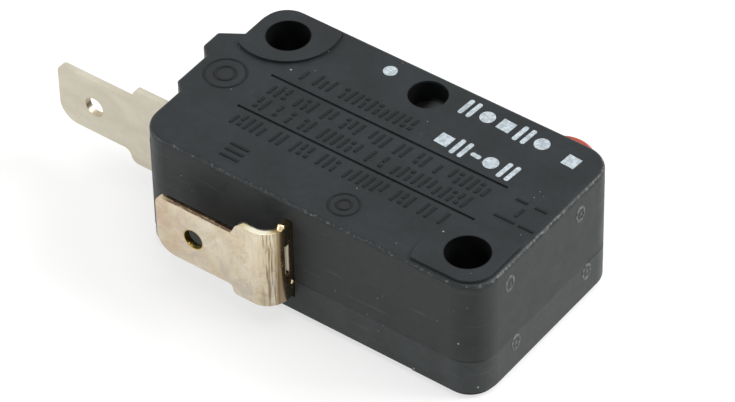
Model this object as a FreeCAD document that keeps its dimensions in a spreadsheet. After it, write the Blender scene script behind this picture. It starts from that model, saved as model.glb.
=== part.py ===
"""Door interlock switch: a snap-action switch in a two-part moulded housing.

Millimetres. The origin is the centre of the lower mounting hole on the cover's outer pads,
X runs along the housing with the terminals at -X, Y points to the plunger, Z through the thickness.
"""
import FreeCAD
import Part
import Sketcher
import math
import os
import re

doc = FreeCAD.newDocument("door_interlock_switch")
sheet = doc.addObject("Spreadsheet::Sheet", "Sizes")

# Driving sizes: the housing
sizes = {
    "pitch_along": 22.2,
    "pitch_across": 10.3,
    "edge": 2.8,
    "total": 10.3,
    "pad_step": 0.2,
    "split_drop": 1.85,
    "seam": 0.05,
    "wall": 1.2,
    "corner": 2.2,
    "rim": 0.3,
    "mount_bore": 3.1,
    "mount_boss": 5.6,
    "pad_radius": 3.8,
    "pad_shift_along": 0.7,
    "pad_shift_across": 0.95,
    "pad_inset": 0.35,
    "pivot_bore": 2.8,
    "pivot_depth": 1.8,
    "pivot_along": 11.1,
    "pivot_wall": 0.64,
    "peg_inset": 1.4,
    "peg": 1.1,
    "peg_height": 2.2,
    "post": 2.2,
    "fit": 0.05,
    # the stepped terminal end of the housing
    "step_low": 1.9,
    "step_mid_low": 2.65,
    "step_mid_high": 5.7,
    "step_out_low": 6.5,
    "step_out_high": 8.1,
    "step_high": 9.1,
    "step_mid": 0.75,
    "step_out": 1.55,
    "step_round": 0.3,
    # engraved dividing lines on the case
    "line_near": 2.9,
    "line_far": 6.62,
    "line_gap": 1.3,
    "line_run": 19.35,
    "line_wide": 0.22,
    "line_deep": 0.12,
    # terminals
    "strip": 0.5,
    "bend": 0.4,
    "tab_narrow": 4.75,
    "tab_clear": 0.35,
    "tab_length": 6.3,
    "tab_hole": 1.5,
    "tab_hole_inset": 3.1,
    "shoulder_slope": 0.5,
    "shoulder_run": 1.2,
    "shoulder_lead": 0.75,
    "shoulder_round": 0.35,
    "tip_round_high": 0.6,
    "tip_round_low": 1.5,
    "common_along": 12.1,
    "common_standoff": 2.3,
    "common_reach": 9.65,
    "common_end": 3.4,
    "foot_gap": 0.4,
    "slot_long": 2.6,
    "slot_wide": 0.3,
    "slot_from_wall": 0.5,
    "slot_lift": 0.4,
    "blade_level": 1.4,
    "blade_reach": 10.35,
    "blade_inside": 7.4,
    "seat_outer": 0.9,
    "seat_inner": 0.6,
    "seat_inset": 0.2,
    "foot_seat_before": 0.5,
    "foot_seat_beyond": 0.7,
    # contacts and moving arm
    "contact_along": 2.6,
    "contact_shank": 1.36,
    "fixed_head": 3.2,
    "fixed_height": 0.65,
    "moving_head": 3.0,
    "moving_height": 0.83,
    "moving_tail": 2.0,
    "tail_height": 0.33,
    "dome": 0.2,
    "contact_gap": 1.0,
    "arm_strip": 0.35,
    "arm_wide": 4.8,
    "arm_beyond": 1.6,
    "arm_window": 3.0,
    "arm_pivot": 5.1,
    "notch": 0.3,
    "knife": 0.3,
    "knife_play": 0.03,
    "bracket_strip": 0.7,
    "bracket_foot": 4.1,
    "bracket_above": 1.0,
    "bracket_solid": 2.2,
    "rivet_along": 8.0,
    "rivet": 1.2,
    "rivet_head": 2.0,
    "rivet_height": 0.35,
    "rivet_edge": 0.2,
    # actuating lever, its pin and the springs
    "pin": 1.0,
    "pin_along": 12.0,
    "pin_below": 2.3,
    "pin_grip": 1.5,
    "pin_wall": 0.6,
    "pin_end": 0.4,
    "lever_strip": 0.35,
    "lever_clear": 0.5,
    "lever_end": 0.7,
    "tongue_along": 3.9,
    "tongue_wide": 1.6,
    "tongue_above": 0.445,
    "hook_hole": 0.9,
    "hook_play": 0.1,
    "hook_tuck": 0.04,
    "hook_angle": 45,
    "hook_along": 3.8,
    "hook_web": 0.45,
    "wire": 0.3,
    "coil": 1.9,
    "coil_turns": 8,
    "turn_steps": 8,
    "coil_lead": 1.1,
    "hook_drop": 0.3,
    "return_wire": 0.35,
    "return_coil": 2.05,
    "return_turns": 5,
    "spring_play": 0.03,
    "seat_height": 0.6,
    "seat_wide": 2.4,
    "seat_low": 1.5,
    # plunger and stop
    "plunger_along": 2.0,
    "plunger_wide": 3.0,
    "plunger_deep": 4.6,
    "plunger_rise": 2.8,
    "plunger_crown": 2.2,
    "plunger_side_slope": 0.25,
    "plunger_play": 0.05,
    "flange_wide": 3.8,
    "flange_height": 0.8,
    "nose_wide": 2.0,
    "nose_play": 0.04,
    "guide_below": 1.0,
    "guide_thick": 0.8,
    "barrier": 0.6,
    "barrier_gap": 0.6,
    "barrier_above": 1.3,
    "stop_strip": 0.5,
    "stop_below": 3.4,
    "stop_boss": 2.4,
    "stop_gap": 0.05,
    "stop_grip": 1.35,
    "stop_beyond": 1.7,
}
for row, (word, number) in enumerate(sizes.items(), 1):
    sheet.set("A%d" % row, word)
    sheet.set("B%d" % row, str(number))
    sheet.setAlias("B%d" % row, word)
doc.recompute()


def link(text):
    """Point each size word of an expression at its cell."""
    return re.sub(r"[a-z_]+", lambda found: "Sizes." + found.group() if found.group() in sizes else found.group(), text)


def value(text):
    return float(sheet.evalExpression(link(text)))


# Places that several pieces share, as expressions in the sizes above
LEFT = "(-pitch_along - edge)"
RIGHT = "edge"
LOW = "(-edge)"
HIGH = "(pitch_across + edge)"
MIDDLE = "(total / 2)"
TOP = "(total - pad_step)"
BOTTOM = "pad_step"
ROOF = "(total - pad_step - wall)"
FLOOR = "(pad_step + wall)"
IN_LEFT = "(-pitch_along - edge + wall)"
IN_RIGHT = "(edge - wall)"
IN_LOW = "(-edge + wall)"
IN_HIGH = "(pitch_across + edge - wall)"
PIVOT_Y = "(pitch_across + edge - pivot_wall - pivot_bore / 2)"
SPLIT = "(total / 2 - split_drop)"
TAB_WIDE = "(total - 2 * pad_step - 2 * wall - 2 * tab_clear)"
LEVER_WIDE = "(total - 2 * pad_step - 2 * wall - 2 * pin_grip - 2 * lever_clear)"
PIN_Y = "(pitch_across - pin_below)"
STOP_Y = "(pitch_across - stop_below)"
GUIDE_Y = "(pitch_across - guide_below)"
SEAT_Y = "(mount_boss / 2 + seat_height)"
PLUNGER_TOP = "(pitch_across + edge + plunger_rise)"
TAB_FACE = "(-edge - common_standoff)"
FOOT = "(-edge + wall + foot_gap)"
FOOT_TOP = "(-edge + wall + foot_gap + strip)"
BLADE_TOP = "(blade_level + strip)"
CONTACT_X = "(-pitch_along + contact_along)"
MOVING_LOW = "(blade_level + strip + fixed_height + contact_gap)"
ARM_LOW = "(blade_level + strip + fixed_height + contact_gap + moving_height)"
ARM_Y = "(blade_level + strip + fixed_height + contact_gap + moving_height + arm_strip / 2)"
ARM_HIGH = "(blade_level + strip + fixed_height + contact_gap + moving_height + arm_strip)"
TAIL_TOP = "(blade_level + strip + fixed_height + contact_gap + moving_height + arm_strip + tail_height)"
EYE = "(pin / 2 + fit + lever_strip)"
TONGUE_END = "(blade_level + strip + fixed_height + contact_gap + moving_height + arm_strip / 2 + tongue_above)"
LEVER_TOP = "(pitch_across - pin_below + pin / 2 + fit + lever_strip)"
LEVER_LOW = "(pitch_across - pin_below + pin / 2 + fit)"
FLANGE_TOP = "(pitch_across + edge - wall - fit)"
FLANGE_LOW = "(pitch_across + edge - wall - fit - flange_height)"
# Where the tension spring's hooks pass the arm and the lever's tongue
HOOK_HOLE_X = "(%s + hook_along)" % CONTACT_X
WINDOW_X = "(%s + hook_along + hook_hole / 2 + hook_web)" % CONTACT_X
ARM_HOOK_X = "(%s + hook_along + hook_hole / 2 - hook_play - wire / 2 + coil / 2)" % CONTACT_X
LEVER_HOOK_X = "(-tongue_along - coil / 2 + wire / 2 + 1.5 * hook_play)"
LEVER_HOOK_Y = "(%s + hook_drop)" % TONGUE_END
TONGUE_HOLE_Y = "(%s + hook_drop + coil / 2 - wire / 2 - hook_tuck)" % TONGUE_END
HOOK_RUN = "(%s - %s)" % (LEVER_HOOK_X, ARM_HOOK_X)
HOOK_RISE = "(%s - %s)" % (LEVER_HOOK_Y, ARM_Y)

WIRE_SIDES = 6


def body_named(label):
    body = doc.addObject("PartDesign::Body", label)
    body.Label = label
    return body


def sketch_on(body, name, plane, offset=("0", "0", "0")):
    """A sketch on one origin plane of the body, moved by the offset in the plane's own directions."""
    base = [feature for feature in body.Origin.OriginFeatures if feature.Role == plane][0]
    sketch = body.newObject("Sketcher::SketchObject", name)
    sketch.AttachmentSupport = [(base, "")]
    sketch.MapMode = "FlatFace"
    for axis, text in zip("xyz", offset):
        sketch.setExpression("AttachmentOffset.Base." + axis, link(text))
    return sketch


def fix_point(sketch, line, end, x, y):
    for kind, text in (("DistanceX", x), ("DistanceY", y)):
        index = sketch.addConstraint(Sketcher.Constraint(kind, -1, 1, line, end, value(text)))
        sketch.setExpression("Constraints[%d]" % index, link(text))


def arc_through(start, end, radius, turn):
    """The short arc from start to end; turn is 1 anticlockwise and -1 clockwise."""
    chord = end - start
    half = chord.Length / 2
    side = FreeCAD.Vector(-chord.y, chord.x, 0).normalize() * turn
    reach = math.sqrt(max(radius * radius - half * half, 0))
    centre = (start + end) * 0.5 + side * reach
    middle = centre - side * radius
    return Part.Arc(start, middle, end)


def outline(sketch, corners):
    """A closed outline. A corner is (x, y), or (x, y, radius, turn) where an arc leaves it."""
    spots = [FreeCAD.Vector(value(corner[0]), value(corner[1]), 0) for corner in corners]
    first = sketch.GeometryCount
    count = len(corners)
    ends = []
    for index, corner in enumerate(corners):
        start, end = spots[index], spots[(index + 1) % count]
        if len(corner) == 2:
            sketch.addGeometry(Part.LineSegment(start, end))
            ends.append((1, 2))
        else:
            arc = arc_through(start, end, value(corner[2]), corner[3])
            sketch.addGeometry(arc)
            ends.append((1, 2) if corner[3] > 0 else (2, 1))
            radius = sketch.addConstraint(Sketcher.Constraint("Radius", first + index, value(corner[2])))
            sketch.setExpression("Constraints[%d]" % radius, link(corner[2]))
    for index, corner in enumerate(corners):
        after = (index + 1) % count
        joint = Sketcher.Constraint("Coincident", first + index, ends[index][1], first + after, ends[after][0])
        sketch.addConstraint(joint)
    for index, corner in enumerate(corners):
        fix_point(sketch, first + index, ends[index][0], corner[0], corner[1])


def rectangle(sketch, x_low, y_low, x_high, y_high):
    outline(sketch, [(x_low, y_low), (x_high, y_low), (x_high, y_high), (x_low, y_high)])


def circle(sketch, x, y, diameter):
    centre = FreeCAD.Vector(value(x), value(y), 0)
    index = sketch.addGeometry(Part.Circle(centre, FreeCAD.Vector(0, 0, 1), value(diameter) / 2))
    size = sketch.addConstraint(Sketcher.Constraint("Diameter", index, value(diameter)))
    sketch.setExpression("Constraints[%d]" % size, link(diameter))
    fix_point(sketch, index, 3, x, y)


def volume(body):
    return body.Shape.Volume if body.Tip else 0.0


def grow(body, name, sketch, length, reverse=False):
    """Pad along the sketch's normal, or against it."""
    before = volume(body)
    feature = body.newObject("PartDesign::Pad", name)
    feature.Profile = sketch
    feature.setExpression("Length", link(length))
    feature.Reversed = reverse
    doc.recompute()
    if body.Shape.Volume <= before:
        raise RuntimeError(body.Label + ": " + name + " adds nothing")
    return feature


def cut(body, name, sketch, length, reverse=False):
    """Pocket against the sketch's normal, or along it."""
    before = volume(body)
    feature = body.newObject("PartDesign::Pocket", name)
    feature.Profile = sketch
    feature.setExpression("Length", link(length))
    feature.Reversed = reverse
    doc.recompute()
    if body.Shape.Volume >= before:
        raise RuntimeError(body.Label + ": " + name + " cuts nothing")
    return feature


def spin(body, name, sketch):
    """Turn a half section about the sketch's upright axis."""
    feature = body.newObject("PartDesign::Revolution", name)
    feature.Profile = sketch
    feature.ReferenceAxis = (sketch, ["V_Axis"])
    feature.Angle = 360
    doc.recompute()
    return feature


def edges_where(body, test):
    names = []
    for index, edge in enumerate(body.Shape.Edges, 1):
        if test(edge):
            names.append("Edge%d" % index)
    if not names:
        raise RuntimeError(body.Label + ": no edge to round")
    return names


def near(first, second):
    return abs(first - second) < 1e-4


def runs_along(edge, axis, places):
    """True for a straight edge along the axis that passes one of the places in the other two."""
    if edge.Curve.TypeId != "Part::GeomLine":
        return False
    start, end = edge.Vertexes[0].Point, edge.Vertexes[-1].Point
    others = [index for index in range(3) if index != axis]
    if not all(near(start[index], end[index]) for index in others):
        return False
    return any(near(start[others[0]], place[0]) and near(start[others[1]], place[1]) for place in places)


def soften(body, name, radius, test):
    base, edges = body.Tip, edges_where(body, test)
    feature = body.newObject("PartDesign::Fillet", name)
    feature.Base = (base, edges)
    feature.setExpression("Radius", link(radius))
    doc.recompute()
    return feature


def bevel(body, name, size, test):
    base, edges = body.Tip, edges_where(body, test)
    feature = body.newObject("PartDesign::Chamfer", name)
    feature.Base = (base, edges)
    feature.setExpression("Size", link(size))
    doc.recompute()
    return feature


def pad_outline(corner_x, corner_y, side):
    """The raised pad round a mounting hole: a round pad cut off parallel to the housing's edges.

    side is 1 for the hole at the lower right corner of the plan and -1 for the other one.
    """
    sign = "" if side > 0 else "-"
    reach = "(edge - pad_inset)"
    bend = "(corner - pad_inset)"
    near_x = "sqrt(pad_radius ^ 2 - (%s - pad_shift_across) ^ 2)" % reach
    near_y = "sqrt(pad_radius ^ 2 - (%s - pad_shift_along) ^ 2)" % reach

    def spot(x, y):
        return ("%s + %s(%s)" % (corner_x, sign, x), "%s + %s(%s)" % (corner_y, sign, y))

    start = spot("pad_shift_along - " + near_x, "-" + reach)
    low = spot("%s - %s" % (reach, bend), "-" + reach)
    right = spot(reach, "%s - %s" % (bend, reach))
    end = spot(reach, near_y + " - pad_shift_across")
    crest = spot("pad_shift_along - pad_radius * 0.6", "pad_radius * 0.8 - pad_shift_across")
    return [start, low + (bend, 1), right, end + ("pad_radius", 1), crest + ("pad_radius", 1)]


def housing_half(label, inner, outer, upward):
    """Outer form, raised pads, cavity, bosses and holes that the case and the cover share.

    inner is the level of the parting plane and outer the level of the half's outer face.
    """
    body = body_named(label)
    plan = sketch_on(body, "plan", "XY_Plane", ("0", "0", inner))
    outline(plan, [
        (LEFT, LOW), (RIGHT, LOW), (RIGHT, HIGH), (LEFT, HIGH),
        (LEFT, "step_high"),
        (LEFT + " - step_out", "step_out_high"),
        (LEFT + " - step_out", "step_out_low"),
        (LEFT + " - step_mid", "step_mid_high"),
        (LEFT + " - step_mid", "step_mid_low"),
        (LEFT, "step_low"),
    ])
    depth = "abs(%s - %s)" % (outer, inner)
    grow(body, "block", plan, depth, not upward)
    places = [(value(x), value(y)) for x in (LEFT, RIGHT) for y in (LOW, HIGH)]
    soften(body, "corners", "corner", lambda edge: runs_along(edge, 2, places))
    steps = [(LEFT + " - step_out", "step_out_high"), (LEFT + " - step_out", "step_out_low")]
    steps = [(value(x), value(y)) for x, y in steps]
    soften(body, "step_corners", "step_round", lambda edge: runs_along(edge, 2, steps))
    level = value(outer)
    break_rim = soften if upward else bevel
    break_rim(body, "rim_edge", "rim",
              lambda edge: near(edge.BoundBox.ZMin, level) and near(edge.BoundBox.ZMax, level))

    parting = value(inner)
    bevel(body, "seam_edge", "seam",
          lambda edge: near(edge.BoundBox.ZMin, parting) and near(edge.BoundBox.ZMax, parting))

    for name, x, y, side in (("lower_pad", "0", "0", 1), ("upper_pad", "-pitch_along", "pitch_across", -1)):
        pad = sketch_on(body, name + "_plan", "XY_Plane", ("0", "0", outer))
        outline(pad, pad_outline(x, y, side))
        grow(body, name, pad, "pad_step", not upward)

    ceiling = ROOF if upward else FLOOR
    cavity = sketch_on(body, "cavity_plan", "XY_Plane", ("0", "0", inner))
    rectangle(cavity, IN_LEFT, IN_LOW, IN_RIGHT, IN_HIGH)
    hollow = "abs(%s - %s)" % (ceiling, inner)
    cut(body, "cavity", cavity, hollow, upward)

    bosses = sketch_on(body, "boss_plan", "XY_Plane", ("0", "0", inner))
    circle(bosses, "0", "0", "mount_boss")
    circle(bosses, "-pitch_along", "pitch_across", "mount_boss")
    grow(body, "bosses", bosses, hollow, not upward)
    posts = sketch_on(body, "post_plan", "XY_Plane", ("0", "0", inner))
    circle(posts, LEFT + " + peg_inset", LOW + " + peg_inset", "post")
    circle(posts, RIGHT + " - peg_inset", HIGH + " - peg_inset", "post")
    grow(body, "posts", posts, hollow, not upward)

    blocks = sketch_on(body, "block_plan", "XY_Plane", ("0", "0", ceiling))
    circle(blocks, "-pivot_along", PIVOT_Y, "pivot_bore + 1.8 * pivot_wall")
    grow(body, "pivot_block", blocks, "pivot_depth + pivot_wall - wall", upward)
    sockets = sketch_on(body, "pin_boss_plan", "XY_Plane", ("0", "0", ceiling))
    circle(sockets, "-pin_along", PIN_Y, "pin + 2 * pin_wall")
    grow(body, "pin_boss", sockets, "pin_grip", upward)

    play = "plunger_play"
    flange = "(flange_wide / 2 + %s)" % play
    ribs = [
        ("guide_left", "-plunger_along - %s - guide_thick" % flange, GUIDE_Y,
         "-plunger_along - " + flange, IN_HIGH),
        ("guide_right", "-plunger_along + " + flange, GUIDE_Y,
         "-plunger_along + %s + guide_thick" % flange, IN_HIGH),
        ("barrier_rib", LEFT + " + blade_inside + barrier_gap", IN_LOW,
         LEFT + " + blade_inside + barrier_gap + barrier", BLADE_TOP + " + barrier_above"),
        ("blade_seat_outer", IN_LEFT, IN_LOW, IN_LEFT + " + seat_outer", "blade_level - fit"),
        ("blade_seat_inner", LEFT + " + blade_inside - seat_inset - seat_inner", IN_LOW,
         LEFT + " + blade_inside - seat_inset", "blade_level - fit"),
        ("foot_seat", "-arm_pivot - foot_seat_before", IN_LOW, "-arm_pivot + foot_seat_beyond", FOOT + " - fit"),
        ("spring_seat", "-plunger_along - seat_wide / 2", "seat_low", "-plunger_along + seat_wide / 2", SEAT_Y),
    ]
    for name, x_low, y_low, x_high, y_high in ribs:
        rib = sketch_on(body, name + "_plan", "XY_Plane", ("0", "0", inner))
        rectangle(rib, x_low, y_low, x_high, y_high)
        grow(body, name, rib, hollow, not upward)

    outer_pad = "0" if not upward else "total"
    bores = sketch_on(body, "bore_plan", "XY_Plane", ("0", "0", outer_pad))
    circle(bores, "0", "0", "mount_bore")
    circle(bores, "-pitch_along", "pitch_across", "mount_bore")
    cut(body, "mounting_holes", bores, "total", not upward)
    blind = sketch_on(body, "pivot_plan", "XY_Plane", ("0", "0", outer))
    circle(blind, "-pivot_along", PIVOT_Y, "pivot_bore")
    cut(body, "lever_pivot_hole", blind, "pivot_depth", not upward)
    holes = sketch_on(body, "pin_hole_plan", "XY_Plane",
                      ("0", "0", ceiling + (" - pin_grip" if upward else " + pin_grip")))
    circle(holes, "-pin_along", PIN_Y, "pin + 2 * fit")
    cut(body, "pin_hole", holes, "pin_grip - pin_end", upward)

    window = sketch_on(body, "window_plan", "XZ_Plane", ("0", "0", "-(%s) - 1" % HIGH))
    rectangle(window, "-plunger_along - plunger_wide / 2 - " + play, MIDDLE + " - plunger_deep / 2 - " + play,
              "-plunger_along + plunger_wide / 2 + " + play, MIDDLE + " + plunger_deep / 2 + " + play)
    cut(body, "plunger_window", window, "wall + 1.5", True)
    blade = sketch_on(body, "blade_slot_plan", "YZ_Plane", ("0", "0", LEFT + " - 1"))
    rectangle(blade, "blade_level - fit / 2", MIDDLE + " - %s / 2 - fit / 2" % TAB_WIDE,
              BLADE_TOP + " + fit / 2", MIDDLE + " + %s / 2 + fit / 2" % TAB_WIDE)
    cut(body, "blade_slot", blade, "wall + 2", True)
    leg = sketch_on(body, "leg_slot_plan", "XZ_Plane", ("0", "0", "edge + 1"))
    rectangle(leg, "-common_along - strip - fit / 2", MIDDLE + " - %s / 2 - fit / 2" % TAB_WIDE,
              "-common_along + fit / 2", MIDDLE + " + %s / 2 + fit / 2" % TAB_WIDE)
    cut(body, "leg_slot", leg, "wall + 1.2", False)
    groove = sketch_on(body, "stop_groove_plan", "YZ_Plane", ("0", "0", IN_LEFT + " + 0.1"))
    rectangle(groove, STOP_Y + " - fit / 2", MIDDLE + " - arm_wide / 2 - fit / 2",
              STOP_Y + " + stop_strip + fit / 2", MIDDLE + " + arm_wide / 2 + fit / 2")
    cut(body, "stop_groove", groove, "stop_grip + fit + 0.1", False)
    return body


def make_case():
    body = housing_half("case", SPLIT, TOP, True)
    sockets = sketch_on(body, "socket_plan", "XY_Plane", ("0", "0", SPLIT))
    circle(sockets, LEFT + " + peg_inset", LOW + " + peg_inset", "peg + 2 * fit")
    circle(sockets, RIGHT + " - peg_inset", HIGH + " - peg_inset", "peg + 2 * fit")
    cut(body, "peg_sockets", sockets, "peg_height + fit", True)
    for name, level in (("near_line", "line_near"), ("far_line", "line_far")):
        groove = sketch_on(body, name + "_plan", "XY_Plane", ("0", "0", TOP))
        rectangle(groove, "-line_gap - line_run - line_wide", level + " - line_wide / 2",
                  "-line_gap - line_wide", level + " + line_wide / 2")
        cut(body, name, groove, "line_deep")
    return body


def make_cover():
    body = housing_half("cover", SPLIT, BOTTOM, False)
    pegs = sketch_on(body, "peg_plan", "XY_Plane", ("0", "0", SPLIT + " - 0.5"))
    circle(pegs, LEFT + " + peg_inset", LOW + " + peg_inset", "peg")
    circle(pegs, RIGHT + " - peg_inset", HIGH + " - peg_inset", "peg")
    grow(body, "pegs", pegs, "peg_height + 0.5")
    return body


def trim_tab(body, tip, face, wall_side):
    """Cut the plug-in tab's narrow end, shoulders, hole and rounded tip out of the full-width strip."""
    high = MIDDLE + " + tab_narrow / 2"
    low = MIDDLE + " - tab_narrow / 2"
    wide_high = MIDDLE + " + %s / 2" % TAB_WIDE
    wide_low = MIDDLE + " - %s / 2" % TAB_WIDE
    shoulder = "%s + tab_length" % tip
    low_shoulder = shoulder + " - shoulder_lead"
    drop = "((%s - tab_narrow) / 2)" % TAB_WIDE
    bow = "((shoulder_run ^ 2 + %s ^ 2) / (4 * %s))" % (drop, drop)
    offset = ("0", "0", "-(%s) + 0.5" % face)
    upper = sketch_on(body, "upper_shoulder_plan", "XZ_Plane", offset)
    outline(upper, [
        (tip + " - 1", high), (shoulder, high), (shoulder + " + shoulder_slope", wide_high),
        (shoulder + " + shoulder_slope", wide_high + " + 1"), (tip + " - 1", wide_high + " + 1"),
    ])
    cut(body, "upper_shoulder", upper, "strip + 1", wall_side)
    lower = sketch_on(body, "lower_shoulder_plan", "XZ_Plane", offset)
    outline(lower, [
        (tip + " - 1", wide_low + " - 1"),
        (low_shoulder + " + shoulder_run", wide_low + " - 1"),
        (low_shoulder + " + shoulder_run", wide_low, bow, -1),
        (low_shoulder + " + shoulder_run / 2", "%s - %s / 2" % (low, drop), bow, 1),
        (low_shoulder, low),
        (tip + " - 1", low),
    ])
    cut(body, "lower_shoulder", lower, "strip + 1", wall_side)
    hole = sketch_on(body, "tab_hole_plan", "XZ_Plane", offset)
    circle(hole, tip + " + tab_hole_inset", MIDDLE, "tab_hole")
    cut(body, "tab_hole", hole, "strip + 1", wall_side)
    corners = (("tip_high", "tip_round_high", tip, high), ("tip_low", "tip_round_low", tip, low),
               ("shoulder_corner", "shoulder_round", shoulder + " + shoulder_slope", wide_high))
    for name, size, along, level in corners:
        place = [(value(along), value(level))]
        soften(body, name, size, lambda edge: runs_along(edge, 1, place))


def make_common_terminal():
    """Side terminal: tab beside the housing, bent in through the near wall and along its inside."""
    body = body_named("common_terminal")
    leg = "-common_along"
    tip = "(-common_along - common_reach)"
    round_out = "(bend + strip)"
    side = sketch_on(body, "bent_strip", "XY_Plane", ("0", "0", MIDDLE + " - %s / 2" % TAB_WIDE))
    outline(side, [
        (tip, TAB_FACE),
        (leg + " - " + round_out, TAB_FACE, round_out, 1),
        (leg, "%s + %s" % (TAB_FACE, round_out)),
        (leg, FOOT + " - bend", "bend", -1),
        (leg + " + bend", FOOT),
        ("-common_end", FOOT),
        ("-common_end", FOOT_TOP),
        (leg + " + bend", FOOT_TOP, round_out, 1),
        (leg + " - strip", FOOT + " - bend"),
        (leg + " - strip", "%s + %s" % (TAB_FACE, round_out), "bend", -1),
        (leg + " - strip - bend", TAB_FACE + " + strip"),
        (tip, TAB_FACE + " + strip"),
    ])
    grow(body, "strip", side, TAB_WIDE)
    trim_tab(body, tip, TAB_FACE, False)
    slot = sketch_on(body, "leg_slot_plan", "YZ_Plane", ("0", "0", leg + " + 0.5"))
    rectangle(slot, LOW + " - slot_from_wall - slot_wide", MIDDLE + " - slot_long / 2 + slot_lift",
              LOW + " - slot_from_wall", MIDDLE + " + slot_long / 2 + slot_lift")
    cut(body, "leg_slot", slot, "strip + 1", False)
    hole = sketch_on(body, "rivet_hole_plan", "XZ_Plane", ("0", "0", "-(%s) + 0.5" % FOOT))
    circle(hole, "-rivet_along", MIDDLE, "rivet + fit")
    cut(body, "rivet_hole", hole, "strip + 1", False)
    return body


def make_open_terminal():
    """Normally-open terminal: a flat blade out of the terminal end."""
    body = body_named("normally_open_terminal")
    tip = "(%s - blade_reach)" % LEFT
    end = "(%s + blade_inside)" % LEFT
    side = sketch_on(body, "strip_plan", "XY_Plane", ("0", "0", MIDDLE + " - %s / 2" % TAB_WIDE))
    rectangle(side, tip, "blade_level", end, BLADE_TOP)
    grow(body, "strip", side, TAB_WIDE)
    trim_tab(body, tip, "blade_level", False)
    hole = sketch_on(body, "contact_hole_plan", "XZ_Plane", ("0", "0", "-(blade_level) + 0.5"))
    circle(hole, CONTACT_X, MIDDLE, "contact_shank + fit")
    cut(body, "contact_hole", hole, "strip + 1", False)
    return body


def make_rivet(label, x, base, rings):
    """A headed rivet about an upright axis; rings are (radius, height above the base) pairs."""
    body = body_named(label)
    section = sketch_on(body, "half_section", "XY_Plane", (x, base, MIDDLE))
    corners = list(rings) + [("0", rings[-1][1])]
    if rings[0][0] != "0":
        corners.insert(0, ("0", rings[0][1]))
    outline(section, corners)
    spin(body, "turned", section)
    return body


def make_fixed_contact():
    shank = "contact_shank / 2"
    head = "fixed_head / 2"
    tail = "moving_tail / 2"
    return make_rivet("fixed_contact", CONTACT_X, "blade_level", [
        (tail, "-tail_height"), (tail, "0"), (shank, "0"), (shank, "strip"), (head, "strip"),
        (head, "strip + fixed_height - dome"), (head + " - dome", "strip + fixed_height"),
    ])


def make_moving_contact():
    shank = "contact_shank / 2 - fit"
    head = "moving_head / 2"
    tail = "moving_tail / 2"
    return make_rivet("moving_contact", CONTACT_X, MOVING_LOW, [
        ("0", "0"), (head + " / 6", "0"), (head, "dome"), (head, "moving_height"), (shank, "moving_height"),
        (shank, "moving_height + arm_strip"), (tail, "moving_height + arm_strip"),
        (tail, "moving_height + arm_strip + tail_height"),
    ])


def make_bracket_rivet():
    shank = "rivet / 2"
    head = "rivet_head / 2"
    return make_rivet("bracket_rivet", "-rivet_along", FOOT, [
        (head, "-rivet_height + fit"), (head, "0"), (shank, "0"), (shank, "2 * strip"), (head, "2 * strip"),
        (head, "2 * strip + rivet_height / 2"), (head + " - rivet_edge", "2 * strip + rivet_height"),
    ])


def make_moving_arm():
    """Contact arm: a strip with an open window for the spring and knife edges at the pivot end."""
    body = body_named("moving_arm")
    left = "(%s - arm_beyond)" % CONTACT_X
    tip = "(-arm_pivot - knife_play)"
    side = sketch_on(body, "side_view", "XY_Plane", ("0", "0", MIDDLE + " - arm_wide / 2"))
    outline(side, [
        (left, ARM_LOW), (tip + " - knife", ARM_LOW), (tip, ARM_Y), (tip + " - knife", ARM_HIGH), (left, ARM_HIGH),
    ])
    grow(body, "strip", side, "arm_wide")
    places = [(value(left), value(MIDDLE + " - arm_wide / 2")), (value(left), value(MIDDLE + " + arm_wide / 2"))]
    soften(body, "end_round", "arm_beyond * 0.7", lambda edge: runs_along(edge, 1, places))
    plan = ("0", "0", "-(%s) + 0.5" % ARM_LOW)
    window = sketch_on(body, "window_plan", "XZ_Plane", plan)
    rectangle(window, WINDOW_X, MIDDLE + " - arm_window / 2", tip + " + 1", MIDDLE + " + arm_window / 2")
    cut(body, "window", window, "arm_strip + 1", False)
    holes = sketch_on(body, "hole_plan", "XZ_Plane", plan)
    circle(holes, CONTACT_X, MIDDLE, "contact_shank")
    circle(holes, HOOK_HOLE_X, MIDDLE, "hook_hole")
    cut(body, "holes", holes, "arm_strip + 1", False)
    return body


def make_pivot_bracket():
    """Upright fork on the common terminal; the arm's knife edges sit in its two notches."""
    body = body_named("pivot_bracket")
    face = "(-arm_pivot - notch)"
    back = face + " + bracket_strip"
    base = face + " - bracket_foot"
    side = sketch_on(body, "side_view", "XY_Plane", ("0", "0", MIDDLE + " - arm_wide / 2"))
    outline(side, [
        (base, FOOT_TOP), (back, FOOT_TOP), (back, ARM_Y + " + bracket_above"),
        (face, ARM_Y + " + bracket_above"), (face, ARM_Y + " + notch"), ("-arm_pivot", ARM_Y),
        (face, ARM_Y + " - notch"), (face, FOOT_TOP + " + strip + bend", "bend", 1),
        (face + " - bend", FOOT_TOP + " + strip"), (base, FOOT_TOP + " + strip"),
    ])
    grow(body, "folded_strip", side, "arm_wide")
    slot = sketch_on(body, "fork_slot_plan", "YZ_Plane", ("0", "0", back + " + 0.5"))
    rectangle(slot, FOOT_TOP + " + strip + bracket_solid", MIDDLE + " - arm_window / 2",
              ARM_Y + " + bracket_above + 1", MIDDLE + " + arm_window / 2")
    cut(body, "fork_slot", slot, "bracket_strip + 1", False)
    hole = sketch_on(body, "rivet_hole_plan", "XZ_Plane", ("0", "0", "-(%s) + 0.5" % FOOT_TOP))
    circle(hole, "-rivet_along", MIDDLE, "rivet + fit")
    cut(body, "rivet_hole", hole, "strip + 1", False)
    return body


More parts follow.
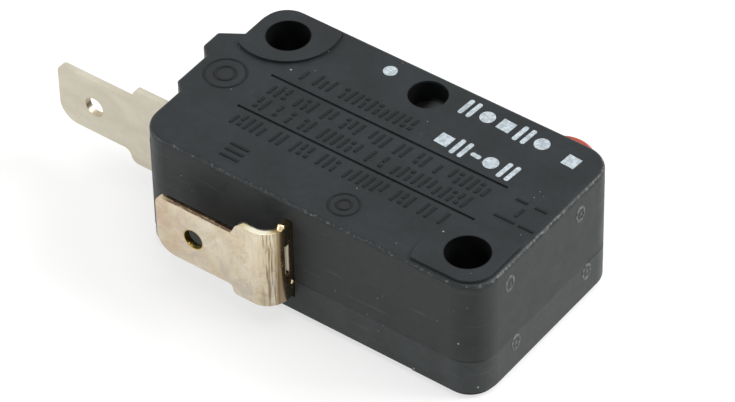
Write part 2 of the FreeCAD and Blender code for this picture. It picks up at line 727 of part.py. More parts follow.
def make_lever():
    """Actuating lever: rolled eye on the pin, flat arm under the plunger, tongue folded down for the spring."""
    body = body_named("actuating_lever")
    level = ("0", "0", MIDDLE + " - %s / 2" % LEVER_WIDE)
    eye = sketch_on(body, "eye_plan", "XY_Plane", level)
    circle(eye, "-pin_along", PIN_Y, "2 * " + EYE)
    grow(body, "eye", eye, LEVER_WIDE)
    arm = sketch_on(body, "arm_plan", "XY_Plane", level)
    rectangle(arm, "-pin_along", LEVER_LOW, "-lever_end", LEVER_TOP)
    grow(body, "arm", arm, LEVER_WIDE)
    bore = sketch_on(body, "bore_plan", "XY_Plane", level)
    circle(bore, "-pin_along", PIN_Y, "pin + 2 * fit")
    cut(body, "bore", bore, LEVER_WIDE, True)
    tongue = sketch_on(body, "tongue_plan", "XY_Plane", ("0", "0", MIDDLE + " - tongue_wide / 2"))
    rectangle(tongue, "-tongue_along - lever_strip", TONGUE_END, "-tongue_along", LEVER_LOW + " + lever_strip / 2")
    grow(body, "tongue", tongue, "tongue_wide")
    gap = sketch_on(body, "tongue_gap_plan", "XZ_Plane", ("0", "0", "-(%s) + 0.5" % LEVER_LOW))
    rectangle(gap, "-tongue_along - lever_strip - (%s - %s)" % (LEVER_LOW, TONGUE_END), MIDDLE + " - tongue_wide / 2 - fit",
              "-tongue_along - lever_strip", MIDDLE + " + tongue_wide / 2 + fit")
    cut(body, "tongue_gap", gap, "lever_strip + 0.6", False)
    hole = sketch_on(body, "hook_hole_plan", "YZ_Plane", ("0", "0", "-tongue_along + 0.5"))
    circle(hole, TONGUE_HOLE_Y, MIDDLE, "hook_hole")
    cut(body, "hook_hole", hole, "lever_strip + 1", False)
    return body


def make_lever_pin():
    pin = doc.addObject("Part::Cylinder", "lever_pin")
    pin.Label = "lever_pin"
    pin.setExpression("Radius", link("pin / 2"))
    pin.setExpression("Height", link("%s - %s - 2 * (pin_end + fit)" % (ROOF, FLOOR)))
    pin.setExpression("Placement.Base.x", link("-pin_along"))
    pin.setExpression("Placement.Base.y", link(PIN_Y))
    pin.setExpression("Placement.Base.z", link(FLOOR + " + pin_end + fit"))
    return pin


def make_plunger():
    """Push button: crown, stem in the window, flange that keeps it in, nose on the lever."""
    body = body_named("plunger")
    half = "plunger_wide / 2"
    left = "-plunger_along - "
    right = "-plunger_along + "
    rise = "(plunger_crown - sqrt(plunger_crown ^ 2 - (plunger_wide / 2) ^ 2))"
    shoulder = "%s - %s" % (PLUNGER_TOP, rise)
    foot = LEVER_TOP + " + nose_play"
    side = sketch_on(body, "front_view", "XY_Plane", ("0", "0", MIDDLE + " - plunger_deep / 2"))
    outline(side, [
        (right + half, shoulder, "plunger_crown", 1),
        (left + half, shoulder),
        (left + half, FLANGE_TOP), (left + "flange_wide / 2", FLANGE_TOP),
        (left + "flange_wide / 2", FLANGE_LOW), (left + "nose_wide / 2", FLANGE_LOW),
        (left + "nose_wide / 2", foot + " + nose_wide / 2", "nose_wide / 2", 1),
        ("-plunger_along", foot, "nose_wide / 2", 1),
        (right + "nose_wide / 2", foot + " + nose_wide / 2"), (right + "nose_wide / 2", FLANGE_LOW),
        (right + "flange_wide / 2", FLANGE_LOW), (right + "flange_wide / 2", FLANGE_TOP),
        (right + half, FLANGE_TOP),
    ])
    grow(body, "bar", side, "plunger_deep")
    high = value(shoulder)
    bevel(body, "crown_ends", "plunger_side_slope",
          lambda edge: near(edge.BoundBox.ZMin, edge.BoundBox.ZMax) and edge.BoundBox.YMin > high - 1e-3)
    return body


def make_back_stop():
    """Stop block in the place of a second terminal; the arm's rivet rests under its boss."""
    body = body_named("back_stop")
    plate = sketch_on(body, "plate_plan", "XY_Plane", ("0", "0", MIDDLE + " - arm_wide / 2"))
    rectangle(plate, IN_LEFT + " - stop_grip", STOP_Y, CONTACT_X + " + stop_beyond", STOP_Y + " + stop_strip")
    grow(body, "plate", plate, "arm_wide")
    boss = sketch_on(body, "boss_plan", "XZ_Plane", ("0", "0", "-(%s + stop_gap)" % TAIL_TOP))
    circle(boss, CONTACT_X, MIDDLE, "stop_boss")
    grow(body, "boss", boss, "%s + stop_strip / 2 - (%s + stop_gap)" % (STOP_Y, TAIL_TOP), True)
    return body


def wire_piece(label, points, diameter):
    """A wire bent along the points, with few sides because it turns so often."""
    path = Part.makePolygon(points)
    along = (points[1] - points[0]).normalize()
    across = along.cross(FreeCAD.Vector(0, 1, 0.1)).normalize()
    corner = points[0] + across * (diameter / 2)
    ring = [corner]
    for side in range(1, WIRE_SIDES + 1):
        turned = FreeCAD.Rotation(along, 360 * side / WIRE_SIDES).multVec(corner - points[0])
        ring.append(points[0] + turned)
    ring[-1] = corner
    section = Part.makePolygon(ring)
    piece = doc.addObject("Part::Feature", label)
    right_corners = 1
    piece.Shape = path.makePipeShell([section], True, False, right_corners)
    piece.Label = label
    return piece


def turn_points(turns, radius, start, length):
    """Points of a coil about Z that starts and ends on the X axis."""
    steps = int(turns * value("turn_steps"))
    points = []
    for step in range(steps + 1):
        angle = 2 * math.pi * turns * step / steps
        height = start + length * step / steps
        points.append(FreeCAD.Vector(radius * math.cos(angle), radius * math.sin(angle), height))
    return points


def hook_points(radius, centre, first, last):
    """Points of a side hook: part of a ring in the XZ plane, the angles in degrees."""
    steps = int(abs(last - first) / value("hook_angle"))
    points = []
    for step in range(steps + 1):
        angle = math.radians(first + (last - first) * step / steps)
        points.append(FreeCAD.Vector(radius * math.cos(angle), 0, centre + radius * math.sin(angle)))
    return points


def make_snap_spring():
    """Tension spring: coil with a side hook at each end, from the arm's hole to the lever's tongue."""
    run, rise = value(HOOK_RUN), value(HOOK_RISE)
    span = math.hypot(run, rise)
    radius, lead = value("coil / 2"), value("coil_lead")
    points = hook_points(radius, 0, 90, 360)
    points += turn_points(value("coil_turns"), radius, lead, span - 2 * lead)
    points += hook_points(radius, span, 0, 270)
    spring = wire_piece("snap_spring", points, value("wire"))
    lying = FreeCAD.Rotation(FreeCAD.Vector(0, 1, 0), 90)
    upright = FreeCAD.Rotation(FreeCAD.Vector(1, 0, 0), 90)
    tilt = FreeCAD.Rotation(FreeCAD.Vector(0, 0, 1), math.degrees(math.atan2(rise, run)))
    place = FreeCAD.Vector(value(ARM_HOOK_X), value(ARM_Y), value(MIDDLE))
    spring.Placement = FreeCAD.Placement(place, tilt.multiply(upright).multiply(lying))
    return spring


def make_return_spring():
    """Compression spring between its seat over the lower hole's boss and the lever."""
    low = value(SEAT_Y + " + return_wire / 2 + spring_play")
    high = value(LEVER_LOW + " - return_wire / 2 - spring_play")
    points = turn_points(value("return_turns"), value("return_coil / 2"), 0, high - low)
    spring = wire_piece("return_spring", points, value("return_wire"))
    upright = FreeCAD.Rotation(FreeCAD.Vector(1, 0, 0), -90)
    place = FreeCAD.Vector(value("-plunger_along"), low, value(MIDDLE))
    spring.Placement = FreeCAD.Placement(place, upright)
    return spring


nodes = [
    make_case(),
    make_cover(),
    make_plunger(),
    make_lever(),
    make_lever_pin(),
    make_common_terminal(),
    make_pivot_bracket(),
    make_bracket_rivet(),
    make_open_terminal(),
    make_fixed_contact(),
    make_moving_arm(),
    make_moving_contact(),
    make_back_stop(),
    make_snap_spring(),
    make_return_spring(),
]
doc.recompute()

for item in doc.Objects:
    if "Invalid" in item.State or "Error" in item.State:
        raise RuntimeError("failed: " + item.Name)
for node in nodes:
    if node.Shape.isNull() or not node.Shape.isValid() or node.Shape.Volume <= 0:
        raise RuntimeError("bad shape: " + node.Label)

os.makedirs("parts", exist_ok=True)
for node in nodes:
    node.Shape.exportStep("parts/%s.step" % node.Label)
    print(node.Label, len(node.Shape.Solids), round(node.Shape.Volume, 2), node.Shape.BoundBox)
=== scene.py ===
import math
import random

import bpy
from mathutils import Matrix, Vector


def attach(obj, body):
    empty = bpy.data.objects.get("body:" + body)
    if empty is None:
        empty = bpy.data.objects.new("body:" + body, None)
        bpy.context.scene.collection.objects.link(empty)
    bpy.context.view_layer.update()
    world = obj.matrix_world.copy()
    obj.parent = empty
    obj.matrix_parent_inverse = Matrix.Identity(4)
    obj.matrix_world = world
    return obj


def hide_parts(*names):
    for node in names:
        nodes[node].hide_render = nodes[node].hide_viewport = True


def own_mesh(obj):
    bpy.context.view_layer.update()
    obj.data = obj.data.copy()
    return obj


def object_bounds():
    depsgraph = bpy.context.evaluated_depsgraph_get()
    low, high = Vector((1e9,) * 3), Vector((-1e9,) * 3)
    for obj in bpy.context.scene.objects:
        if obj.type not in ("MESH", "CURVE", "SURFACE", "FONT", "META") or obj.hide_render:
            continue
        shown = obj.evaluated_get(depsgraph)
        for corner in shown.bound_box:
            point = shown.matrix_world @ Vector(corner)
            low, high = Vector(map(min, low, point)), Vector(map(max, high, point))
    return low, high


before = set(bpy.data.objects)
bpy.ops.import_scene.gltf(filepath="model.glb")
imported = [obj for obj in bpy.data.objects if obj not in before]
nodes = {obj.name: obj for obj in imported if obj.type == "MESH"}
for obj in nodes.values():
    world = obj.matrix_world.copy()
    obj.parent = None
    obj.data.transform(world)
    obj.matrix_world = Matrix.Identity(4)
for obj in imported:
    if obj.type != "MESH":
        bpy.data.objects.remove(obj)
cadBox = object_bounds()
toMetres = 0.001          # pieces are modelled in millimetres and made metres at the end
caseTop = 10.1            # face of the case between its raised pads
endWall = 2.8             # outer face of the end wall beside the button
near = 0.01               # places closer than this count as one

print("door switch: frame loaded,", len(nodes), "nodes")


class Wire:  # a socket of a material that can stand in a sum
    def __init__(self, tree, socket):
        self.tree = tree
        self.socket = socket

    def node(self, kind, settings, feeds, out=0):
        made = self.tree.nodes.new(kind)
        for key, value in settings.items():
            setattr(made, key, value)
        for key, value in feeds.items():
            if isinstance(value, Wire):
                self.tree.links.new(value.socket, made.inputs[key])
            else:
                made.inputs[key].default_value = value
        return Wire(self.tree, made.outputs[out])

    def maths(self, operation, *values):
        return self.node("ShaderNodeMath", {"operation": operation}, dict(enumerate(values)))

    def __add__(self, other):
        return self.maths("ADD", self, other)

    def __sub__(self, other):
        return self.maths("SUBTRACT", self, other)

    def __rsub__(self, other):
        return self.maths("SUBTRACT", other, self)

    def __mul__(self, other):
        return self.maths("MULTIPLY", self, other)

    __radd__ = __add__
    __rmul__ = __mul__

    def size(self):
        return self.maths("ABSOLUTE", self)

    def least(self, other):
        return self.maths("MINIMUM", self, other)

    def most(self, other):
        return self.maths("MAXIMUM", self, other)

    def root(self):
        return self.maths("SQRT", self)

    def between(self, low, high):  # 0 at low, 1 at high, held outside
        return self.node("ShaderNodeMapRange", {}, {0: self, 1: low, 2: high})

    def stretched(self, x, y, z):
        return self.node("ShaderNodeMapping", {}, {"Vector": self, "Scale": (x, y, z)})

    def noise(self, scale, detail=2.0, rough=0.5, warp=0.0):
        return self.node("ShaderNodeTexNoise", {}, {"Vector": self, "Scale": scale, "Detail": detail,
                                                    "Roughness": rough, "Distortion": warp})

    def specks(self, scale, radius, share):  # round specks in a share of the cells
        away = self.node("ShaderNodeTexVoronoi", {}, {"Vector": self, "Scale": scale})
        pick = self.node("ShaderNodeTexVoronoi", {}, {"Vector": self, "Scale": scale}, out=1)
        chance = pick.node("ShaderNodeSeparateColor", {}, {0: pick})
        return (1 - away.between(radius * 0.6, radius)) * chance.between(1 - share, 1 - share + 0.02)

    def mixed(self, low, high):  # this wire's value picks between two colours
        return self.node("ShaderNodeMix", {"data_type": "RGBA"}, {0: self, 6: low, 7: high}, out=2)

    def tinted(self, tint, amount=1.0):  # multiplied by a colour, as far as the amount says
        return self.node("ShaderNodeMix", {"data_type": "RGBA", "blend_type": "MULTIPLY"},
                         {0: amount, 6: self, 7: tint + (1.0,)}, out=2)


def colour(red, green, blue):  # 0 to 255 as seen on screen
    shades = [c / 255 for c in (red, green, blue)]
    return tuple(((s + 0.055) / 1.055) ** 2.4 if s > 0.0405 else s / 12.92 for s in shades) + (1.0,)


def newPaint(name, **settings):
    paint = bpy.data.materials.new(name)
    paint.use_nodes = True
    shader = paint.node_tree.nodes["Principled BSDF"]
    for key, value in settings.items():
        shader.inputs[key.replace("_", " ")].default_value = value
    place = Wire(paint.node_tree, paint.node_tree.nodes.new("ShaderNodeTexCoord").outputs["Object"])
    inMillimetres = place.node("ShaderNodeVectorMath", {"operation": "SCALE"}, {0: place, "Scale": 1000.0})
    return paint, shader, inMillimetres


def feed(shader, **wires):
    for key, wire in wires.items():
        wire.tree.links.new(wire.socket, shader.inputs[key.replace("_", " ")])


def grain(height, strength, depth):  # depth in millimetres
    return height.node("ShaderNodeBump", {},
                       {"Height": height, "Strength": strength, "Distance": depth * toMetres})


def axes(place):
    return [place.node("ShaderNodeSeparateXYZ", {}, {0: place}, out=n) for n in range(3)]


def around(x, y, centre):
    dx, dy = x - centre[0], y - centre[1]
    return (dx * dx + dy * dy).root()


# Housing: fine matt moulding, cloudy in places, rubbed pale along its upper edges and a little dusty, with
# painted light on its walls and end face, painted shade inside its holes and a painted highlight in the pivot
# hole.
housing = {
    "dark": colour(29, 32, 34), "light": colour(40, 44, 46), "rubbed": colour(176, 178, 172),
    "dust": colour(190, 192, 188), "roughness": 0.44,
    "paintedWallLight": (1.16, 1.10, 1.03), "wallTop": (9.6, 10.0),
    "paintedEndLight": (1.25, 1.22, 1.19), "endFace": (2.2, 2.7),
    "middle": (-11.9, 5.15), "half": (14.7, 7.95), "corner": 2.2, "rubWidth": (0.08, 0.22),
    "seamLevel": 3.34, "seamWidth": (0.05, 0.13), "seamX": (2.2, 2.5), "seamY": (9.2, 9.9),
    "bores": [(0.0, 0.0), (-22.2, 10.3)], "bore": 1.58,
    "pivot": (-11.1, 11.06), "pivotRadius": 1.43, "pivotFloor": 8.3, "pivotFrom": (4.0, 4.1),
    # hollow is painted shade inside the holes, also used for the dark seam mark; glint is a painted
    # highlight.
    "pivotTo": (9.9, 10.0), "hollow": colour(9, 10, 11), "glint": colour(104, 108, 106),
}


def mouldedPlastic(name, lift, edgeHeight):
    paint, shader, place = newPaint(name, IOR=1.5, Specular_IOR_Level=0.20)
    x, y, z = axes(place)
    cloud = place.noise(0.28, 3.0, 0.55).between(0.35, 0.65)
    fine = place.noise(9.0, 3.0, 0.6)
    wall = 1 - z.between(*housing["wallTop"])
    scuff = place.noise(0.75, 5.0, 0.65, 0.4).between(0.40, 0.66) * wall
    mottle = place.noise(1.9, 4.0, 0.7).between(0.38, 0.62)
    tone = cloud * 0.5 + mottle * 0.3 + fine * 0.3 + scuff * 0.7 - 0.2
    base = tone.mixed(housing["dark"], housing["light"]).tinted((lift, lift, lift))
    # Painted light: the walls below the top are painted lighter and warmer than the top.
    base = base.tinted(housing["paintedWallLight"], wall)
    # Painted light: the end face is painted lighter again, as if lit from that side.
    base = base.tinted(housing["paintedEndLight"], x.between(*housing["endFace"]))
    (cx, cy), (hx, hy), corner = housing["middle"], housing["half"], housing["corner"]
    dx = (x - cx).size() - (hx - corner)
    dy = (y - cy).size() - (hy - corner)
    out = around(dx.most(0.0), dy.most(0.0), (0.0, 0.0)) + dx.most(dy).least(0.0) - corner
    rim = around(out, z, (0.0, edgeHeight))  # distance from the rounded outline's edge
    patchy = (place.noise(3.4, 5.0, 0.75) + x.between(1.4, 2.4) * 0.05).between(0.54, 0.64)
    rub = (1 - rim.between(*housing["rubWidth"])) * patchy
    dust = place.specks(0.85, 0.075, 0.16).most(place.specks(2.3, 0.10, 0.06)) * 0.5
    base = (rub * 0.34).mixed(base, housing["rubbed"])
    streak = place.stretched(0.25, 0.25, 2.4).noise(1.1, 3.0, 0.6).between(0.62, 0.80) * wall
    base = (streak * 0.06).mixed(base, housing["rubbed"])
    crack = 1 - (z - housing["seamLevel"]).size().between(*housing["seamWidth"])
    crack = crack * x.between(*housing["seamX"]) * y.between(*housing["seamY"])
    base = (crack * 0.85).mixed(base, housing["hollow"])
    base = dust.mixed(base, housing["dust"])
    # Painted shade: the mounting holes are painted near black inside.
    for centre in housing["bores"]:
        bore = 1 - around(x, y, centre).between(housing["bore"], housing["bore"] + 0.06)
        base = bore.mixed(base, housing["hollow"])
    # Painted shade: the blind pivot hole is painted near black inside.
    pit = 1 - around(x, y, housing["pivot"]).between(housing["pivotRadius"], housing["pivotRadius"] + 0.05)
    pit = pit * (1 - z.between(*housing["pivotTo"])) * z.between(*housing["pivotFrom"])
    base = pit.mixed(base, housing["hollow"])
    # Painted highlight: a grey glint on the far part of the pivot hole's floor.
    low = 1 - z.between(housing["pivotFloor"] + 0.05, housing["pivotFloor"] + 0.35)
    glint = pit * low * x.between(housing["pivot"][0] - 0.75, housing["pivot"][0] + 0.05)
    base = (glint * 0.8).mixed(base, housing["glint"])
    rough = cloud * 0.08 + fine * 0.10 + scuff * 0.14 + (housing["roughness"] - 0.09)
    feed(shader, Base_Color=base, Roughness=rough,
         Normal=grain(fine + place.noise(26.0, 2.0, 0.5) * 0.6, 0.35, 0.012))
    return paint


# Push button: satin moulding with slight wear on its crown.
button = {"deep": colour(146, 50, 30), "bright": colour(172, 71, 45), "worn": colour(206, 124, 98)}


def buttonPlastic():
    paint, shader, place = newPaint("satinButtonPlastic", IOR=1.5)
    x, y, z = axes(place)
    cloud = place.noise(0.9, 3.0, 0.5).between(0.3, 0.7)
    fine = place.noise(14.0, 2.0, 0.5)
    base = cloud.mixed(button["deep"], button["bright"])
    crown = y.between(15.2, 15.9) * place.noise(2.5, 4.0, 0.65).between(0.5, 0.75)
    feed(shader, Base_Color=(crown * 0.35).mixed(base, button["worn"]), Roughness=fine * 0.15 + 0.33,
         Normal=grain(fine, 0.2, 0.006))
    return paint


# Tabs: plated brass strip, tarnished in smears, with bare brass where a punch has cut it.
blade = {
    "pale": colour(205, 199, 183), "warm": colour(196, 189, 171), "cut": colour(186, 176, 150),
    "stain": colour(176, 165, 142), "tarnish": 0.20, "veil": colour(190, 187, 176), "veiled": 0.35,
    "roughness": 0.40, "run": (0.5, 1.0, 1.4), "hole": (-32.25, 5.15),
}
sideTab = {
    "pale": colour(216, 206, 184), "warm": colour(202, 188, 161), "cut": colour(176, 150, 62),
    "stain": colour(164, 136, 102), "tarnish": 0.60, "veil": colour(184, 174, 166), "veiled": 0.60,
    "roughness": 0.17, "run": (1.0, 1.0, 0.7), "hole": (-18.65, 5.15),
    # leg is a painted shade colour for the leg.
    "line": colour(112, 96, 66), "flush": colour(192, 164, 142), "leg": colour(124, 100, 62),
    # The dark brown edge colour below is painted shade on the narrow top edge; sheen is a painted highlight.
    "darkEdgeShade": colour(92, 66, 48), "edgePale": colour(208, 194, 152), "sheen": colour(248, 244, 222),
    "narrowTop": 7.52, "wideTop": 8.545, "shoulderX": -15.5,
    # bright is painted light for the slot.
    "bright": colour(236, 228, 206), "slotLow": (-12.62, -3.64, 4.50), "slotHigh": (-12.13, -3.26, 6.90),
}


def inside(place, low, high, soft=0.05):  # 1 inside a box, with soft sides
    mask = None
    for wire, a, b in zip(axes(place), low, high):
        part = wire.between(a - soft, a) * (1 - wire.between(b, b + soft))
        mask = part if mask is None else mask * part
    return mask


def platedStrip(name, look, extra=None):
    paint, shader, place = newPaint(name)
    smear = place.stretched(*look["run"])
    broad = smear.noise(0.45, 4.0, 0.6, 0.6)
    tone = broad.between(0.38, 0.62)
    blot = place.noise(0.9, 5.0, 0.7, 0.9).between(0.54, 0.72)
    hair = smear.noise(5.5, 2.0, 0.5)
    base = tone.mixed(look["warm"], look["pale"])
    base = (blot * look["tarnish"]).mixed(base, look["stain"])
    veil = place.noise(0.5, 5.0, 0.7, 1.4).between(0.50, 0.64)
    base = (veil * look["veiled"]).mixed(base, look["veil"])
    pits = place.specks(1.6, 0.09, 0.14)
    base = (pits * look["tarnish"]).mixed(base, look["stain"])
    x, y, z = axes(place)
    base = (1 - around(x, z, look["hole"]).between(0.76, 0.86)).mixed(base, look["cut"])
    metal = 1.0 - blot * 0.35
    rough = tone * 0.10 + hair * 0.12 + blot * 0.16 + (look["roughness"] - 0.11)
    if extra:
        base, metal, rough = extra(place, base, metal, rough)
    feed(shader, Base_Color=base, Metallic=metal, Roughness=rough,
         Normal=grain(hair + broad * 0.8, 0.25, 0.012))
    return paint


# Lines in the bend, a narrow upper edge in painted shade with a painted highlight by the bend, a leg in
# painted shade and painted light in the slot.
def bendAndSlot(place, base, metal, rough):
    x, y, z = axes(place)
    bent = x.between(-13.3, -12.8) * (1 - x.between(-12.16, -12.12))
    lines = place.stretched(8.0, 8.0, 0.35).noise(1.0, 3.0, 0.6).between(0.46, 0.58) * bent
    base = (lines * 0.75).mixed(base, sideTab["line"])
    flush = (1 - x.between(-20.8, -17.5)) * place.noise(0.7, 4.0, 0.65).between(0.42, 0.60)
    base = (flush * 0.65).mixed(base, sideTab["flush"])
    # Painted shade: the narrow top edge is painted dark brown, paler in patches and near the tip and
    # shoulder.
    narrow = z.between(sideTab["narrowTop"] - 0.02, sideTab["narrowTop"])
    narrow = narrow * (1 - x.between(sideTab["shoulderX"], sideTab["shoulderX"] + 0.05))
    upper = narrow.most(z.between(sideTab["wideTop"] - 0.02, sideTab["wideTop"]))
    pale = place.stretched(1.0, 2.0, 1.0).noise(1.6, 4.0, 0.7).between(0.52, 0.70)
    pale = pale.most(1 - x.between(-21.4, -20.6)).most(x.between(-15.6, -15.2))
    # Painted highlight: near the bend the top edge is painted almost white.
    sheen = x.between(-14.6, -13.8) * (1 - x.between(-12.9, -12.5))
    edge = sheen.mixed(pale.mixed(sideTab["darkEdgeShade"], sideTab["edgePale"]), sideTab["sheen"])
    base = (upper * 0.9).mixed(base, edge)
    # Painted shade: the leg is painted dark olive brown.
    leg = y.between(-4.45, -4.15)
    base = (leg * 0.8).mixed(base, sideTab["leg"])
    # Painted light: the slot's walls are painted pale, not metal and rougher, standing in for light seen
    # through the slot.
    slot = inside(place, sideTab["slotLow"], sideTab["slotHigh"])
    base = slot.mixed(base, sideTab["bright"])
    return base, metal * (1 - slot), rough + slot * 0.4 + leg * 0.06


# Plain metals of the works: two tones, a drawing direction and a roughness.
metals = {
    "rolledBrass": ((176, 138, 72), (206, 172, 104), (0.3, 3.0, 3.0), 0.30),
    "copperStrip": ((188, 124, 84), (214, 154, 112), (0.25, 3.0, 3.0), 0.28),
    "silverContact": ((196, 196, 190), (228, 228, 222), (2.0, 2.0, 2.0), 0.34),
    "platedSteel": ((150, 151, 152), (188, 189, 190), (0.3, 2.6, 2.6), 0.27),
    "drawnSpringWire": ((112, 113, 116), (168, 169, 171), (1.2, 1.2, 1.2), 0.24),
}


def workMetal(name):
    deep, bright, run, roughness = metals[name]
    paint, shader, place = newPaint(name)
    drawn = place.stretched(*run).noise(2.2, 4.0, 0.6)
    dull = place.noise(0.7, 3.0, 0.6).between(0.45, 0.75)
    base = drawn.between(0.35, 0.65).mixed(colour(*deep), colour(*bright))
    feed(shader, Base_Color=(dull * 0.25).mixed(base, colour(*deep)), Metallic=1.0 - dull * 0.1,
         Roughness=drawn * 0.14 + dull * 0.10 + (roughness - 0.07), Normal=grain(drawn, 0.2, 0.008))
    return paint


finishes = {
    "case": mouldedPlastic("mouldedCasePlastic", 1.0, caseTop),
    "cover": mouldedPlastic("mouldedCoverPlastic", 1.40, 0.2),
    "plunger": buttonPlastic(),
    "normally_open_terminal": platedStrip("palePlatedStrip", blade),
    "common_terminal": platedStrip("tarnishedPlatedStrip", sideTab, bendAndSlot),
}
workFinishes = {
    "rolledBrass": ("pivot_bracket", "bracket_rivet", "back_stop"),
    "copperStrip": ("moving_arm",),
    "silverContact": ("fixed_contact", "moving_contact"),
    "platedSteel": ("lever_pin", "actuating_lever"),
    "drawnSpringWire": ("snap_spring", "return_spring"),
}
for metal, members in workFinishes.items():
    finishes.update(dict.fromkeys(members, workMetal(metal)))
for node, paint in finishes.items():
    nodes[node].data.materials.clear()
    nodes[node].data.materials.append(paint)
print("door switch: materials on", len(finishes), "nodes")


def deselectAll():
    if bpy.context.object and bpy.context.object.mode != "OBJECT":
        bpy.ops.object.mode_set(mode="OBJECT")
    bpy.ops.object.select_all(action="DESELECT")


def select(*pieces):
    deselectAll()
    for piece in pieces:
        piece.select_set(True)
    bpy.context.view_layer.objects.active = pieces[0]


def settle(pieces, name, paint):  # makes them one piece in metres that rides on the housing
    select(*pieces)
    if len(pieces) > 1:
        bpy.ops.object.join()
    whole = bpy.context.object
    bpy.ops.object.transform_apply(location=True, rotation=True, scale=True)
    whole.scale = (toMetres,) * 3
    bpy.ops.object.transform_apply(location=False, rotation=False, scale=True)
    whole.name = name
    whole.data.name = name
    whole.data.materials.clear()
    whole.data.materials.append(paint)
    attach(whole, "housing")
    return whole


def copyOf(master, place, turn=0.0, stretch=(1.0, 1.0, 1.0)):
    twin = master.copy()
    twin.data = master.data.copy()
    bpy.context.scene.collection.objects.link(twin)
    twin.location = place
    twin.rotation_euler = (0.0, 0.0, math.radians(turn))
    twin.scale = stretch
    return twin


def roundTop(width):  # bevels the rim of the upper face of the piece last added
    piece = bpy.context.object
    bpy.ops.object.mode_set(mode="EDIT")
    bpy.ops.mesh.select_all(action="DESELECT")
    bpy.ops.object.mode_set(mode="OBJECT")
    for face in piece.data.polygons:
        face.select = face.normal.z > 0.9
    bpy.ops.object.mode_set(mode="EDIT")
    bpy.ops.mesh.select_mode(type="FACE")
    bpy.ops.mesh.region_to_loop()
    bpy.ops.mesh.bevel(offset=width, segments=2, affect="EDGES")
    bpy.ops.object.mode_set(mode="OBJECT")


def roundEdges(piece, chosen, width, segments):  # bevels the edges whose two ends pass the test
    select(piece)
    bpy.ops.object.mode_set(mode="EDIT")
    bpy.ops.mesh.select_mode(type="EDGE")
    bpy.ops.mesh.select_all(action="DESELECT")
    bpy.ops.object.mode_set(mode="OBJECT")
    for edge in piece.data.edges:
        edge.select = chosen(*(piece.data.vertices[v].co for v in edge.vertices))
    bpy.ops.object.mode_set(mode="EDIT")
    bpy.ops.mesh.bevel(offset=width, segments=segments, affect="EDGES")
    bpy.ops.object.mode_set(mode="OBJECT")


# Print on the case: a dot and two rows of plain shapes, in thin pale ink.
ink = {
    "height": 0.012, "sunk": 0.02, "rounding": 0.006, "turn": -4.0, "stroke": 0.36, "endRound": 0.42,
    "long": 1.6, "dash": 0.8, "apart": 0.32, "disc": 0.56, "block": 0.74,
    "pale": colour(182, 191, 196), "thin": colour(146, 156, 162),
    "dot": (-14.57, 11.54, 0.5),  # x, y and radius
    "upperRow": [(-8.0, 11.55, "bars"), (-6.55, 11.5, "disc"), (-5.05, 11.5, "block"),
                 (-3.55, 11.45, "bars"), (-2.1, 11.4, "disc"), (0.45, 11.1, "block")],
    "lowerRow": [(-7.6, 8.05, "block"), (-6.2, 8.0, "bars"), (-5.0, 7.95, "dash"),
                 (-3.8, 7.95, "disc"), (-2.35, 7.9, "bars")],
}
inkLevel = caseTop + (ink["height"] - ink["sunk"]) / 2


def inkPaint():
    paint, shader, place = newPaint("paleInk", Specular_IOR_Level=0.3)
    patch = place.noise(3.6, 4.0, 0.75).between(0.42, 0.60)
    fine = place.noise(16.0, 2.0, 0.6)
    feed(shader, Base_Color=patch.mixed(ink["thin"], ink["pale"]), Roughness=fine * 0.2 + 0.5,
         Normal=grain(fine, 0.3, 0.006))
    return paint


def inkShape(corners, radius, x, y, turn=0.0):
    deselectAll()
    bpy.ops.mesh.primitive_cylinder_add(vertices=corners, radius=radius, depth=ink["height"] + ink["sunk"])
    roundTop(ink["rounding"])
    shape = bpy.context.object
    shape.location = (x, y, inkLevel)
    shape.rotation_euler = (0.0, 0.0, math.radians(turn))
    return shape


def inkBar(x, y, long, turn):
    deselectAll()
    bpy.ops.mesh.primitive_cube_add(size=1.0, scale=(long, ink["stroke"], ink["height"] + ink["sunk"]))
    bar = bpy.context.object
    roundEdges(bar, lambda a, b: abs(a.z - b.z) > near, ink["stroke"] * ink["endRound"], 4)
    roundTop(ink["rounding"])
    bar.location = (x, y, inkLevel)
    bar.rotation_euler = (0.0, 0.0, math.radians(turn))
    return bar


def inkRow(row):
    made = []
    for x, y, shape in row:
        if shape == "bars":
            for side in (-1, 1):
                made.append(inkBar(x + side * ink["apart"], y, ink["long"], 90.0 + ink["turn"]))
        elif shape == "disc":
            made.append(inkShape(28, ink["disc"], x, y))
        elif shape == "block":
            made.append(inkShape(4, ink["block"], x, y, 45.0 + ink["turn"]))
        else:
            made.append(inkBar(x, y, ink["dash"], ink["turn"]))
    return made


inkFinish = inkPaint()
dotX, dotY, dotRadius = ink["dot"]
settle([inkShape(36, dotRadius, dotX, dotY)], "printedDot", inkFinish)
settle(inkRow(ink["upperRow"]), "printedUpperRow", inkFinish)
settle(inkRow(ink["lowerRow"]), "printedLowerRow", inkFinish)
print("door switch: print done")


